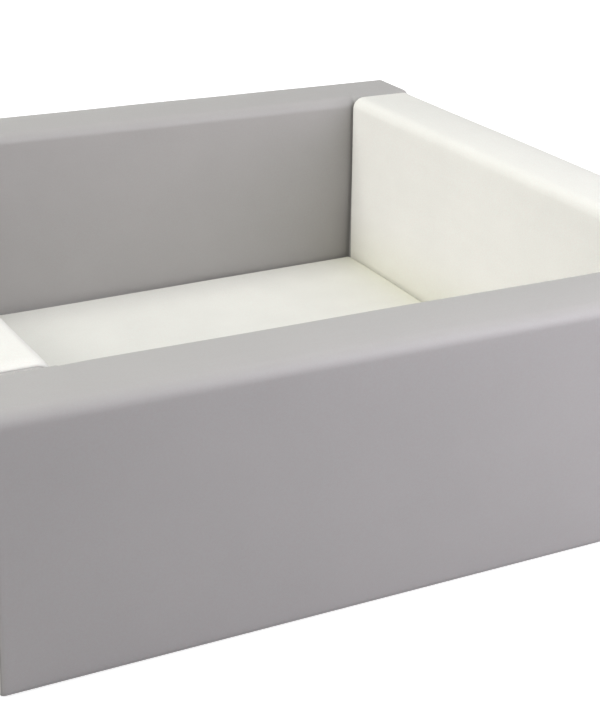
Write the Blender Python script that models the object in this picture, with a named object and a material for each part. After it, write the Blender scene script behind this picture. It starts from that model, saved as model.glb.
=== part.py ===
"""A square soft-play ball pit, made as it is sewn and assembled.

Four foam wall blocks stand round one foam floor mat. Each block is a foam core in a zipped skin with a
non-slip base panel, and the corners hold by hook-and-loop strips. Metres, +Z up. The origin is on the
floor, under the middle of the pit. The two long walls run along X, and the two end walls stand
between them.
"""

import math

import bpy
import numpy as np

# Driving dimensions of the assembled pit
PIT_LENGTH = 1.500  # along X, over the long walls
PIT_WIDTH = 1.500  # along Y, over both long walls
WALL_HEIGHT = 0.450
WALL_THICKNESS = 0.150
MAT_HEIGHT = 0.050

# Clearances
FIT_GAP = 0.0003  # between pieces that touch
MAT_GAP = 0.0005  # from the mat to each wall

# Form of a wall block
WALL_TOP_RADIUS = 0.026
WALL_BASE_RADIUS = 0.012
WALL_END_RADIUS = 0.008  # the sewn edges round each end face
WALL_TOP_CROWN = 0.005  # the middle of the top stands this far over its edges and ends

# Form of the mat block
MAT_TOP_RADIUS = 0.009
MAT_BASE_RADIUS = 0.006
MAT_END_RADIUS = 0.009
MAT_TOP_CROWN = 0.003

# Skin, base panel and the hem that the panel is sewn to
SKIN_THICKNESS = 0.0012
PANEL_THICKNESS = 0.0016
HEM_WIDTH = 0.012  # flat part of the skin, turned under the block

# Zip, in the base panel's middle
ZIP_MARGIN = 0.120  # from each end of the block to the zip
TAPE_WIDTH = 0.014
TAPE_THICKNESS = 0.0007
TAPE_TAIL = 0.012  # tape past each end of the slot
COIL_WIDTH = 0.0026
COIL_HEIGHT = 0.0018
SLIDER_LENGTH = 0.014
SLIDER_WIDTH = 0.009
SLIDER_PLATE = 0.0009
SLIDER_WEB = 0.0008  # runs between the two coils
SLIDER_NOSE = 0.003  # the slider's ends narrow over this length
SLIDER_STOP_GAP = 0.002  # from the slider to the slot's end
SLOT_CLEARANCE = 0.0006  # at each side of the slider
CHANNEL_CLEARANCE = 0.001  # in the foam, round the zip

# Hook-and-loop strips on the upright faces that meet at the corners
STRIP_THICKNESS = 0.001
STRIP_SIDE_MARGIN = 0.042  # from the rounded edge of the end face
STRIP_END_MARGIN = 0.060  # from the floor, and from the top
STRIP_CORNER = 0.006

# How finely the forms are cut
TOP_STEPS = 4
BASE_STEPS = 2
END_STEPS = 3
CROWN_SHARES = (0.5, 0.0, -0.5)  # places across the top, as shares of its half width
LENGTH_SHARES = (-0.75, -0.4, 0.0, 0.4, 0.75)  # places along the block, as shares of its half length
CROWN_FADE = 3  # power of the place along the block by which its crown fades
CORNER_SHARE = 0.45  # what is left of an edge's radius on the end face
CORNER_STEPS = 2

# Finishes: base colour in linear light, roughness
FINISHES = {
    "grey_leatherette": ((0.41, 0.39, 0.38), 0.48),
    "cream_leatherette": ((0.86, 0.85, 0.76), 0.48),
    "foam": ((0.80, 0.74, 0.55), 0.95),
    "nonslip_fabric": ((0.06, 0.06, 0.065), 0.85),
    "zip_tape_fabric": ((0.10, 0.10, 0.11), 0.80),
    "zip_slider_nylon": ((0.04, 0.04, 0.045), 0.40),
    "hook_tape": ((0.72, 0.72, 0.69), 0.90),
    "loop_tape": ((0.30, 0.29, 0.28), 0.95),
}

WALL_FORM = {
    "top_radius": WALL_TOP_RADIUS,
    "base_radius": WALL_BASE_RADIUS,
    "end_radius": WALL_END_RADIUS,
    "top_crown": WALL_TOP_CROWN,
}
MAT_FORM = {
    "top_radius": MAT_TOP_RADIUS,
    "base_radius": MAT_BASE_RADIUS,
    "end_radius": MAT_END_RADIUS,
    "top_crown": MAT_TOP_CROWN,
}

# The corner joint: skin, hook strip, loop strip, skin, with a gap between each two
CORNER_JOINT = 2 * STRIP_THICKNESS + 3 * FIT_GAP
END_WALL_LENGTH = PIT_WIDTH - 2 * (WALL_THICKNESS + CORNER_JOINT)
MAT_LENGTH = PIT_LENGTH - 2 * (WALL_THICKNESS + MAT_GAP)
MAT_WIDTH = PIT_WIDTH - 2 * (WALL_THICKNESS + MAT_GAP)
WALL_CENTRE_X = (PIT_LENGTH - WALL_THICKNESS) / 2
WALL_CENTRE_Y = (PIT_WIDTH - WALL_THICKNESS) / 2

# Heights of the zip's layers over the floor
TAPE_BOTTOM = PANEL_THICKNESS + FIT_GAP
TAPE_TOP = TAPE_BOTTOM + TAPE_THICKNESS
COIL_TOP = TAPE_TOP + COIL_HEIGHT
SLIDER_LOWER_TOP = TAPE_BOTTOM - FIT_GAP
SLIDER_UPPER_BOTTOM = COIL_TOP + FIT_GAP
SLIDER_TOP = SLIDER_UPPER_BOTTOM + SLIDER_PLATE
CORE_BOTTOM = max(SKIN_THICKNESS, PANEL_THICKNESS) + FIT_GAP

# Places of the zip's edges, out from its centre line
TAPE_START = SLIDER_WEB / 2 + FIT_GAP
TAPE_END = TAPE_START + TAPE_WIDTH
SLOT_HALF = SLIDER_WIDTH / 2 + SLOT_CLEARANCE


def clear_scene():
    for old in list(bpy.data.objects):
        bpy.data.objects.remove(old, do_unlink=True)


def make_material(name):
    colour, roughness = FINISHES[name]
    material = bpy.data.materials.new(name)
    material.use_nodes = True
    shader = material.node_tree.nodes["Principled BSDF"]
    shader.inputs["Base Color"].default_value = (*colour, 1.0)
    shader.inputs["Roughness"].default_value = roughness
    shader.inputs["Metallic"].default_value = 0.0
    material.diffuse_color = (*colour, 1.0)
    return material


def add_object(name, vertices, faces, finish, parent, smooth=False):
    mesh = bpy.data.meshes.new(name)
    mesh.from_pydata([tuple(map(float, v)) for v in vertices], [], faces)
    mesh.validate()
    if finish:
        mesh.materials.append(bpy.data.materials.get(finish) or make_material(finish))
    if smooth:
        mesh.shade_smooth()
        mesh.set_sharp_from_angle(angle=math.radians(50))
    piece = bpy.data.objects.new(name, mesh)
    bpy.context.scene.collection.objects.link(piece)
    piece.parent = parent
    return piece


def add_station(name, x, y, turn_degrees):
    """The empty that carries one block. Its +X runs along the block, and a wall's +Y faces the pit."""
    station = bpy.data.objects.new(name, None)
    bpy.context.scene.collection.objects.link(station)
    station.location = (x, y, 0)
    station.rotation_euler = (0, 0, math.radians(turn_degrees))
    return station


def block_section(half, base, top, crown, top_radius, base_radius, hem):
    """A block's outline across its length, round from the hem's right edge to its left edge.

    The long edges are quarter arcs, and the top rises between them as a parabola.
    """
    points = [(half - hem, base)]
    for step in range(BASE_STEPS + 1):
        angle = -math.pi / 2 + math.pi / 2 * step / BASE_STEPS
        points.append(
            (
                half - base_radius + base_radius * math.cos(angle),
                base + base_radius + base_radius * math.sin(angle),
            )
        )
    edge = top - crown
    for step in range(TOP_STEPS + 1):
        angle = math.pi / 2 * step / TOP_STEPS
        points.append(
            (
                half - top_radius + top_radius * math.cos(angle),
                edge - top_radius + top_radius * math.sin(angle),
            )
        )
    flat = half - top_radius
    rise = [(share * flat, top - crown * share**2) for share in CROWN_SHARES]
    mirrored = [(-across, up) for across, up in reversed(points)]
    return points + rise + mirrored


def block_rings(length, width, height, form, inset, base, hem_along, hem_across):
    """The outlines of a block from one end to the other, as an array of rings, points and coordinates.

    inset is how far the surface lies inside the block's outer one. At each end the outline shrinks along
    a quarter arc, which rounds the end's edges. The top's crown fades to nothing at the ends.
    """
    half_length = length / 2
    rounding = form["end_radius"] - inset
    places = [
        (
            half_length - form["end_radius"] + rounding * math.sin(angle),
            1 - math.cos(angle),
        )
        for angle in (math.pi / 2 * step / END_STEPS for step in range(END_STEPS + 1))
    ]
    ends = [(half_length - hem_along, 0.0), *places]
    middle = [(share * half_length, 0.0) for share in LENGTH_SHARES]
    stations = [(-u, e) for u, e in reversed(ends)] + middle + ends
    rings = []
    for along, shrink in stations:
        left_share = 1 - (1 - CORNER_SHARE) * shrink
        crown = form["top_crown"] * (1 - abs(along / half_length) ** CROWN_FADE)
        base_radius = form["base_radius"] - inset
        outline = block_section(
            half=width / 2 - inset - rounding * shrink,
            base=base + base_radius * shrink,
            top=height - inset - form["top_crown"] + crown - rounding * shrink,
            crown=crown,
            top_radius=(form["top_radius"] - inset) * left_share,
            base_radius=base_radius * left_share,
            hem=hem_across - inset,
        )
        rings.append([(along, across, up) for across, up in outline])
    return np.array(rings)


def grid_faces(ring_count, point_count, start=0, inward=False):
    """The two triangles of each quad between neighbouring rings, keyed by ring and point.

    Both skins split each quad along the same diagonal, so they keep their distance.
    """
    pairs = {}
    for ring in range(ring_count - 1):
        for point in range(point_count):
            following = (point + 1) % point_count
            here = start + ring * point_count + point
            beside = start + ring * point_count + following
            across = beside + point_count
            ahead = here + point_count
            pair = [[here, beside, across], [here, across, ahead]]
            pairs[ring, point] = [t[::-1] for t in pair] if inward else pair
    return pairs


def all_faces(pairs):
    return [triangle for pair in pairs.values() for triangle in pair]


def end_caps(ring_count, point_count, start=0, inward=False):
    first = [start + point for point in range(point_count)]
    last = [start + (ring_count - 1) * point_count + p for p in range(point_count)]
    caps = [first[::-1], last]
    return [cap[::-1] for cap in caps] if inward else caps


def opening_frame(ring_count, point_count, inner_start):
    """The faces that join the outer skin to the inner one round the opening for the base panel."""
    under = point_count - 1  # the outline's last side runs under the block, from hem to hem
    first = END_STEPS + 1
    last = ring_count - 1 - first
    frame = []
    for ring in range(first, last):
        low = ring * point_count
        high = (ring + 1) * point_count
        frame.append([low, high, inner_start + high, inner_start + low])
        low += under
        high += under
        frame.append([high, low, inner_start + low, inner_start + high])
    for ring, turned in ((first, False), (last, True)):
        right = ring * point_count
        left = right + under
        side = [left, right, inner_start + right, inner_start + left]
        frame.append(side[::-1] if turned else side)
    return frame, first, last, under


def hem_insets(form):
    """How far the base panel's opening lies inside the block, along it and across it."""
    return form["end_radius"] + HEM_WIDTH, form["base_radius"] + HEM_WIDTH


def make_cover(name, length, width, height, form, finish, station):
    """The sewn skin: top, sides, ends and a hem turned under, open where the base panel goes."""
    hem_along, hem_across = hem_insets(form)
    sizes = (length, width, height, form)
    outer = block_rings(*sizes, 0.0, 0.0, hem_along, hem_across)
    inner = block_rings(*sizes, SKIN_THICKNESS, SKIN_THICKNESS, hem_along, hem_across)
    ring_count, point_count = outer.shape[:2]
    inner_start = ring_count * point_count
    outside = grid_faces(ring_count, point_count)
    inside = grid_faces(ring_count, point_count, inner_start, inward=True)
    frame, first, last, under = opening_frame(ring_count, point_count, inner_start)
    for ring in range(first, last):
        del outside[ring, under]
        del inside[ring, under]
    faces = all_faces(outside) + all_faces(inside) + frame
    faces += end_caps(ring_count, point_count)
    faces += end_caps(ring_count, point_count, inner_start, inward=True)
    vertices = np.concatenate([outer.reshape(-1, 3), inner.reshape(-1, 3)])
    return add_object(name, vertices, faces, finish, station, smooth=True)


def make_core(name, length, width, height, form, station):
    """The foam block inside the skin, with a shallow channel under it where the zip presses in."""
    inset = SKIN_THICKNESS + FIT_GAP
    hem_along, hem_across = hem_insets(form)
    rings = block_rings(
        length, width, height, form, inset, CORE_BOTTOM, hem_along, hem_across
    )
    ring_count, point_count = rings.shape[:2]
    faces = all_faces(grid_faces(ring_count, point_count))
    faces += end_caps(ring_count, point_count)
    core = add_object(name, rings.reshape(-1, 3), faces, "foam", station, smooth=True)

    half_channel = TAPE_END + CHANNEL_CLEARANCE
    half_run = zip_length(length) / 2 + TAPE_TAIL + CHANNEL_CLEARANCE
    cutter = make_box(
        name + "_channel_cutter",
        (-half_run, -half_channel, -CHANNEL_CLEARANCE),
        (half_run, half_channel, SLIDER_TOP + CHANNEL_CLEARANCE),
        None,
        station,
    )
    cutter.hide_render = True
    cutter.display_type = "WIRE"
    cut = core.modifiers.new("zip_channel", "BOOLEAN")
    cut.operation = "DIFFERENCE"
    cut.solver = "EXACT"
    cut.object = cutter
    return core


def make_box(name, low, high, finish, station):
    xs, ys, zs = zip(low, high)
    vertices = [(x, y, z) for x in xs for y in ys for z in zs]
    faces = [
        (0, 1, 3, 2),
        (4, 6, 7, 5),
        (0, 4, 5, 1),
        (2, 3, 7, 6),
        (0, 2, 6, 4),
        (1, 5, 7, 3),
    ]
    return add_object(name, vertices, faces, finish, station)


def make_prism(name, outline, place, low, high, finish, station):
    """A flat outline carried from low to high. place turns an outline point and a height into a point."""
    count = len(outline)
    vertices = [place(point, low) for point in outline]
    vertices += [place(point, high) for point in outline]
    faces = [list(range(count))[::-1], list(range(count, 2 * count))]
    for index in range(count):
        following = (index + 1) % count
        faces.append([index, following, following + count, index + count])
    return add_object(name, vertices, faces, finish, station)


def rounded_rectangle(half_width, half_height, radius):
    outline = []
    for quarter, (side, end) in enumerate(((1, 1), (-1, 1), (-1, -1), (1, -1))):
        for step in range(CORNER_STEPS + 1):
            angle = math.pi / 2 * (quarter + step / CORNER_STEPS)
            outline.append(
                (
                    side * (half_width - radius) + radius * math.cos(angle),
                    end * (half_height - radius) + radius * math.sin(angle),
                )
            )
    return outline


def zip_length(block_length):
    return block_length - 2 * ZIP_MARGIN


def make_base_panel(name, length, width, form, station):
    """The non-slip panel under the block, with the slot for the zip."""
    hem_along, hem_across = hem_insets(form)
    half_length = length / 2 - hem_along - FIT_GAP
    half_width = width / 2 - hem_across - FIT_GAP
    slot_length = zip_length(length) / 2
    corners = ((-1, -1), (1, -1), (1, 1), (-1, 1))
    rims = [(x * half_length, y * half_width) for x, y in corners]
    rims += [(x * slot_length, y * SLOT_HALF) for x, y in corners]
    vertices = [(x, y, 0) for x, y in rims]
    vertices += [(x, y, PANEL_THICKNESS) for x, y in rims]
    faces = []
    for index in range(4):
        following = (index + 1) % 4
        faces.append([index, index + 4, following + 4, following])
        faces.append([index + 8, following + 8, following + 12, index + 12])
        faces.append([index, following, following + 8, index + 8])
        faces.append([index + 4, index + 12, following + 12, following + 4])
    return add_object(name, vertices, faces, "nonslip_fabric", station)


def make_zip_tape(name, length, side, station):
    """One half of the zip: a tape that lies on the panel, with its coil along the inner edge, inside."""
    outline = [
        (TAPE_START, TAPE_BOTTOM),
        (TAPE_END, TAPE_BOTTOM),
        (TAPE_END, TAPE_TOP),
        (TAPE_START + COIL_WIDTH, TAPE_TOP),
        (TAPE_START + COIL_WIDTH, COIL_TOP),
        (TAPE_START, COIL_TOP),
    ]
    if side < 0:
        outline = [(-across, up) for across, up in reversed(outline)]
    run = zip_length(length) / 2 + TAPE_TAIL
    return make_prism(
        name,
        outline,
        lambda point, along: (along, *point),
        -run,
        run,
        "zip_tape_fabric",
        station,
    )


def make_zip_slider(name, length, station):
    """The slider at the zip's closed end: two plates, over and under the coils, joined by a thin web."""
    rest = zip_length(length) / 2 - SLIDER_STOP_GAP - SLIDER_LENGTH / 2
    half_web = SLIDER_WEB / 2
    bottom = SLIDER_LOWER_TOP - SLIDER_PLATE
    levels = (
        (bottom, SLIDER_WIDTH / 2),
        (SLIDER_LOWER_TOP, SLIDER_WIDTH / 2),
        (SLIDER_LOWER_TOP, half_web),
        (SLIDER_UPPER_BOTTOM, half_web),
        (SLIDER_UPPER_BOTTOM, SLIDER_WIDTH / 2),
        (SLIDER_TOP, SLIDER_WIDTH / 2),
    )
    right = [(half, up) for up, half in levels]
    left = [(-half, up) for up, half in reversed(levels)]
    outline = np.array(right + left)
    nose_width = (SLIDER_WEB + SLIDER_WIDTH) / 4
    stations = (
        (-SLIDER_LENGTH / 2, nose_width),
        (-SLIDER_LENGTH / 2 + SLIDER_NOSE, SLIDER_WIDTH / 2),
        (SLIDER_LENGTH / 2 - SLIDER_NOSE, SLIDER_WIDTH / 2),
        (SLIDER_LENGTH / 2, nose_width),
    )
    rings = []
    for along, widest in stations:
        across = np.clip(outline[:, 0], -widest, widest)
        rings.append([(along, v, w) for v, w in zip(across, outline[:, 1])])
    rings = np.array(rings)
    faces = all_faces(grid_faces(len(stations), len(outline)))
    faces += end_caps(len(stations), len(outline))
    slider = add_object(name, rings.reshape(-1, 3), faces, "zip_slider_nylon", station)
    slider.location = (rest, 0, 0)
    return slider


def make_block(name, length, width, height, form, finish, station):
    """One zipped foam block: core, skin, base panel, both zip tapes and the slider."""
    make_core(name + "_foam_core", length, width, height, form, station)
    make_cover(name + "_cover", length, width, height, form, finish, station)
    make_base_panel(name + "_base_panel", length, width, form, station)
    make_zip_tape(name + "_zip_tape_inner", length, 1, station)
    make_zip_tape(name + "_zip_tape_outer", length, -1, station)
    make_zip_slider(name + "_zip_slider", length, station)


def strip_outline():
    half_width = WALL_THICKNESS / 2 - WALL_END_RADIUS - STRIP_SIDE_MARGIN
    half_height = WALL_HEIGHT / 2 - STRIP_END_MARGIN
    return rounded_rectangle(half_width, half_height, STRIP_CORNER)


def make_hook_strip(name, end, station):
    """Sewn upright on an end wall's end face. end is 1 or -1 along the wall."""
    near = END_WALL_LENGTH / 2 + FIT_GAP
    levels = sorted((end * near, end * (near + STRIP_THICKNESS)))
    make_prism(
        name,
        strip_outline(),
        lambda point, along: (along, point[0], point[1] + WALL_HEIGHT / 2),
        *levels,
        "hook_tape",
        station,
    )


def make_loop_strip(name, end, station):
    """Sewn upright on a long wall's inner face, facing the hook strip of the end wall there."""
    near = WALL_THICKNESS / 2 + FIT_GAP
    centre = end * WALL_CENTRE_X
    make_prism(
        name,
        strip_outline(),
        lambda point, across: (
            centre - point[0],
            across,
            point[1] + WALL_HEIGHT / 2,
        ),
        near,
        near + STRIP_THICKNESS,
        "loop_tape",
        station,
    )


def make_long_wall(name, station, left_end):
    size = (PIT_LENGTH, WALL_THICKNESS, WALL_HEIGHT)
    make_block(name, *size, WALL_FORM, "grey_leatherette", station)
    make_loop_strip(name + "_loop_strip_left", left_end, station)
    make_loop_strip(name + "_loop_strip_right", -left_end, station)


def make_end_wall(name, station, front_end):
    size = (END_WALL_LENGTH, WALL_THICKNESS, WALL_HEIGHT)
    make_block(name, *size, WALL_FORM, "cream_leatherette", station)
    make_hook_strip(name + "_hook_strip_front", front_end, station)
    make_hook_strip(name + "_hook_strip_back", -front_end, station)


def main():
    clear_scene()
    front = add_station("front_wall", 0, -WALL_CENTRE_Y, 0)
    back = add_station("back_wall", 0, WALL_CENTRE_Y, 180)
    left = add_station("left_wall", -WALL_CENTRE_X, 0, -90)
    right = add_station("right_wall", WALL_CENTRE_X, 0, 90)
    mat = add_station("floor_mat", 0, 0, 0)
    make_long_wall("front_wall", front, left_end=-1)
    make_long_wall("back_wall", back, left_end=1)
    make_end_wall("left_wall", left, front_end=1)
    make_end_wall("right_wall", right, front_end=-1)
    size = (MAT_LENGTH, MAT_WIDTH, MAT_HEIGHT)
    make_block("floor_mat", *size, MAT_FORM, "cream_leatherette", mat)


main()
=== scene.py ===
import math

import bmesh
import bpy
import numpy as np
from mathutils import Matrix, Vector


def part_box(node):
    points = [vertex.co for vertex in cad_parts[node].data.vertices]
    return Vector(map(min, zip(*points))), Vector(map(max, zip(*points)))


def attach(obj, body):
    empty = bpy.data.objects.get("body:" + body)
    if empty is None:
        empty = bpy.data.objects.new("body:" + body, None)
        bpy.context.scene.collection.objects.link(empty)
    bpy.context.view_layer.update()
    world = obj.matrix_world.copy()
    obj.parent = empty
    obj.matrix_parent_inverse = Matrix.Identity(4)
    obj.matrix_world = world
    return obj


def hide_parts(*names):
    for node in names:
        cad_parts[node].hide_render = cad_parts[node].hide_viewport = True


# Soft-play ball pit: four zipped foam wall blocks round one foam floor mat.
# Metres, +Z up. Every block is worked out in its own local frame: along, across and up,
# with its inner side at +across, and is then turned and carried to its place.

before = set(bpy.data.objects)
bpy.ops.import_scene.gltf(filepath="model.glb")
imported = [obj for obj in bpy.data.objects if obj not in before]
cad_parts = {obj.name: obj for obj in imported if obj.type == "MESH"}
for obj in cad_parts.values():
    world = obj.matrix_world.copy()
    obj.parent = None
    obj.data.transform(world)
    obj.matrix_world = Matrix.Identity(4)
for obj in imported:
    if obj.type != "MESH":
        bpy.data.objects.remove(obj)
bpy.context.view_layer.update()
print("frame loaded:", len(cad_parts), "solids")


# Blocks

blocks = {
    "front_wall": {"turn": 0, "finish": "grey_leatherette", "slider": "front_slider"},
    "back_wall": {"turn": 180, "finish": "grey_leatherette", "slider": "back_slider"},
    "left_wall": {"turn": -90, "finish": "cream_leatherette", "slider": "left_slider", "slump": 0.005},
    "right_wall": {"turn": 90, "finish": "cream_leatherette", "slider": "right_slider", "lean": 0.009},
    "floor_mat": {"turn": 0, "finish": "cream_leatherette", "slider": "mat_slider"},
}

for name, block in blocks.items():
    low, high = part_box(name + "_cover")
    size = high - low
    block["name"] = name
    block["centre"] = ((low.x + high.x) / 2, (low.y + high.y) / 2)
    block["length"], block["width"] = (size.x, size.y) if block["turn"] % 180 == 0 else (size.y, size.x)
    block["height"] = size.z
    block["isWall"] = name != "floor_mat"
    block["isLong"] = name in ("front_wall", "back_wall")
    block.setdefault("lean", 0.0)  # how far its inner side stands in at the top
    block.setdefault("slump", 0.0)  # how far its top slopes down at its front end


# Carries points from a block's own frame to their place in the pit.
def toFrame(block, points):
    turn = math.radians(block["turn"])
    x, y, z = points[:, 0], points[:, 1], points[:, 2]
    return np.column_stack(
        [
            block["centre"][0] + x * math.cos(turn) - y * math.sin(turn),
            block["centre"][1] + x * math.sin(turn) + y * math.cos(turn),
            z,
        ]
    )


# The low and the high corner of one of a block's nodes, in the block's own frame.
def localBox(block, node):
    corners = np.array([list(corner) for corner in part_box(block["name"] + "_" + node)])
    turn = -math.radians(block["turn"])
    x, y = corners[:, 0] - block["centre"][0], corners[:, 1] - block["centre"][1]
    along = x * math.cos(turn) - y * math.sin(turn)
    across = x * math.sin(turn) + y * math.cos(turn)
    return np.sort(np.column_stack([along, across, corners[:, 2]]), axis=0)


# From 0 at the start to 1 at the end, level at both.
def smoothStep(value, start, end):
    t = np.clip((value - start) / (end - start), 0, 1)
    return t * t * (3 - 2 * t)


# One finished piece, which rides on its body and may take the place of CAD nodes. Its edges stay
# sharp where its faces turn by more than the given degrees.
def makePiece(name, points, faces, material, body, nodes=(), sharp=40):
    mesh = bpy.data.meshes.new(name)
    mesh.from_pydata(points.tolist(), [], faces.tolist() if hasattr(faces, "tolist") else faces)
    mesh.materials.append(finishes[material])
    mesh.shade_smooth()
    mesh.set_sharp_from_angle(angle=math.radians(sharp))
    piece = bpy.data.objects.new(name, mesh)
    bpy.context.scene.collection.objects.link(piece)
    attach(piece, body)
    if nodes:
        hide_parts(*nodes)
    return piece


# A piece of a block, from points in the block's own frame. The names of the piece and of the node
# that it replaces begin with the block's.
def makeBlockPiece(block, part, points, faces, material, node=None, body=None, sharp=40):
    name = block["name"]
    nodes = [name + "_" + node] if node else []
    places = toFrame(block, points.reshape(-1, 3))
    return makePiece(name + "_" + part, places, faces, material, body or name, nodes, sharp)


def setPointValues(mesh, name, values):
    attribute = mesh.attributes.new(name, "FLOAT", "POINT")
    attribute.data.foreach_set("value", np.asarray(values, np.float32).ravel())


mergeGap = 0.00002  # points closer together than this become one


# Merges the points that lie together where a grid closes, and drops what belongs to no face.
def closeMesh(mesh):
    edit = bmesh.new()
    edit.from_mesh(mesh)
    bmesh.ops.remove_doubles(edit, verts=edit.verts, dist=mergeGap)
    bmesh.ops.delete(edit, geom=[v for v in edit.verts if not v.link_faces], context="VERTS")
    edit.to_mesh(mesh)
    edit.free()


# Copies of one small shape, as one array. Each copy is laid along its own three axes, the columns of
# its turn, and then moved to its place.
def repeatShape(shapePoints, shapeFaces, places, turns=None):
    count = len(places)
    copies = np.repeat(shapePoints[None], count, axis=0)
    if turns is not None:
        copies = np.einsum("nij,nkj->nki", turns, copies)
    copies = copies + places[:, None, :]
    steps = np.arange(count)[:, None, None] * len(shapePoints)
    return copies.reshape(-1, 3), (shapeFaces[None] + steps).reshape(-1, shapeFaces.shape[1])


# The axes of shapes that run along each of the directions, standing off a plane.
def axesAlong(directions, normal):
    normals = np.broadcast_to(normal, directions.shape)
    return np.stack([directions, np.cross(normals, directions), normals], axis=-1)


# A four-sided thread along a path in its own XZ plane, all in quads: at each point of the path a square
# ring of the given radius lies across the path's direction, and both end rings are closed.
def makeThread(path, radii):
    path, radii = np.array(path, float), np.array(radii, float)
    ahead = np.gradient(path, axis=0)
    ahead /= np.linalg.norm(ahead, axis=1)[:, None]
    sideways = np.array([0.0, 1.0, 0.0])
    upward = np.cross(ahead, sideways)[:, None]
    angle = math.pi / 2 * (np.arange(4) + 0.5)[None, :, None]
    ring = np.cos(angle) * sideways + np.sin(angle) * upward
    rings = path[:, None] + radii[:, None, None] * ring
    last = 4 * (len(path) - 1)
    caps = np.array([[3, 2, 1, 0], [last, last + 1, last + 2, last + 3]])
    return rings.reshape(-1, 3), np.concatenate([gridQuads(len(path), 4, ring=True), caps])


# The quads of a grid of rows and columns. A ring closes its columns.
def gridQuads(rows, columns, ring=False):
    row = np.arange(rows - 1)[:, None]
    column = np.arange(columns if ring else columns - 1)[None, :]
    following = (column + 1) % columns
    return np.stack(
        [
            row * columns + column,
            row * columns + following,
            (row + 1) * columns + following,
            (row + 1) * columns + column,
        ],
        axis=-1,
    ).reshape(-1, 4)


# The two many-sided faces that close a tube of rings at its ends.
def endFaces(rings, count):
    return [list(range(count))[::-1], list(range((rings - 1) * count, rings * count))]


# Materials

# A node with its inputs either linked to a socket or set to a value.
def addNode(tree, kind, inputs=None, **settings):
    node = tree.nodes.new(kind)
    for key, value in settings.items():
        setattr(node, key, value)
    for key, value in (inputs or {}).items():
        socket = node.inputs[key]
        if isinstance(value, bpy.types.NodeSocket):
            tree.links.new(value, socket)
        else:
            socket.default_value = value
    return node


def startMaterial(name):
    material = bpy.data.materials.new(name)
    material.use_nodes = True
    tree = material.node_tree
    shader = tree.nodes["Principled BSDF"]
    place = addNode(tree, "ShaderNodeTexCoord").outputs["Object"]
    return material, tree, shader, place


def mixColours(tree, factor, first, second, kind="MIX"):
    inputs = {0: factor, 6: first, 7: second}
    return addNode(tree, "ShaderNodeMix", inputs, data_type="RGBA", blend_type=kind).outputs[2]


def mapRange(tree, value, low, high, newLow=0.0, newHigh=1.0):
    inputs = {"Value": value, "From Min": low, "From Max": high, "To Min": newLow, "To Max": newHigh}
    return addNode(tree, "ShaderNodeMapRange", inputs).outputs["Result"]


def mathNode(tree, operation, first, second):
    return addNode(tree, "ShaderNodeMath", {0: first, 1: second}, operation=operation).outputs[0]


def noiseNode(tree, place, scale, detail, roughness=0.5):
    inputs = {"Vector": place, "Scale": scale, "Detail": detail, "Roughness": roughness}
    return addNode(tree, "ShaderNodeTexNoise", inputs).outputs["Fac"]


def bumpNode(tree, height, depth, strength, **under):
    inputs = {"Height": height, "Distance": depth, "Strength": strength, **under}
    return addNode(tree, "ShaderNodeBump", inputs).outputs[0]


def pointValues(tree, name):
    return addNode(tree, "ShaderNodeAttribute", attribute_name=name).outputs["Fac"]


# A colour times one share, or times a share for each of red, green and blue.
def tinted(colour, shares):
    return (*np.minimum(np.array(colour) * shares, 1.0).tolist(), 1.0)


def linkShader(tree, shader, colour, roughness, normal):
    for name, output in (("Base Color", colour), ("Roughness", roughness), ("Normal", normal)):
        tree.links.new(output, shader.inputs[name])


leatherLook = {
    "finishes": {
        # colour, roughness and gloss
        "grey_leatherette": ((0.415, 0.402, 0.398), 0.47, 0.40),
        "cream_leatherette": ((0.842, 0.830, 0.799), 0.62, 0.15),
    },
    "pebbleSize": 0.0011,  # metres from one pebble of the grain to the next
    "pebbleJitter": 0.9,
    "pebbleEdge": 0.28,  # a pebble rises over this share of its size
    "pebbleShade": 0.93,  # the share of its colour that is left between pebbles
    "grainDepth": 0.00007,
    "grainStrength": 0.6,
    "rippleDepth": 0.00022,
    "rippleStrength": 1.0,
    "fineHeight": 0.35,
    # noises: waves to the metre, detail and roughness
    "fine": (2400.0, 2.0, 0.5),  # on top of the pebbles
    "ripples": (1 / 0.035, 3.0, 0.5),  # slight unevenness of the foam under the skin
    "clouds": (7.0, 4.0, 0.6),  # of colour and gloss
    "speckle": (1 / 0.0032, 2.0, 0.5),  # fine mottling of the colour
    "cloudSpread": (0.30, 0.70),  # the part of the noise that goes from one tint to the other
    "cloudTints": (0.975, 1.015),
    "cloudGloss": (0.25, 0.75),
    "cloudRough": (-0.03, 0.04),  # added to the roughness at each end
    "speckleSpread": (0.35, 0.65),
    "speckleTints": ((0.985, 0.963, 0.966, 1), (0.985, 1.0, 1.0, 1)),  # pinkish and bluish
    "wearTint": 1.05,  # on worn edges
    "wearShare": 0.1,
    "wearPolish": 0.05,
    "seamAndShadeTint": 0.55,  # down in the seams, and in the painted shade of corners and feet
    "seamAndShadeShare": 0.65,
    "warmShadeTint": (0.55, 0.55, 0.28),  # the shares of red, green and blue that the painted warm shade leaves
}
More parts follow.
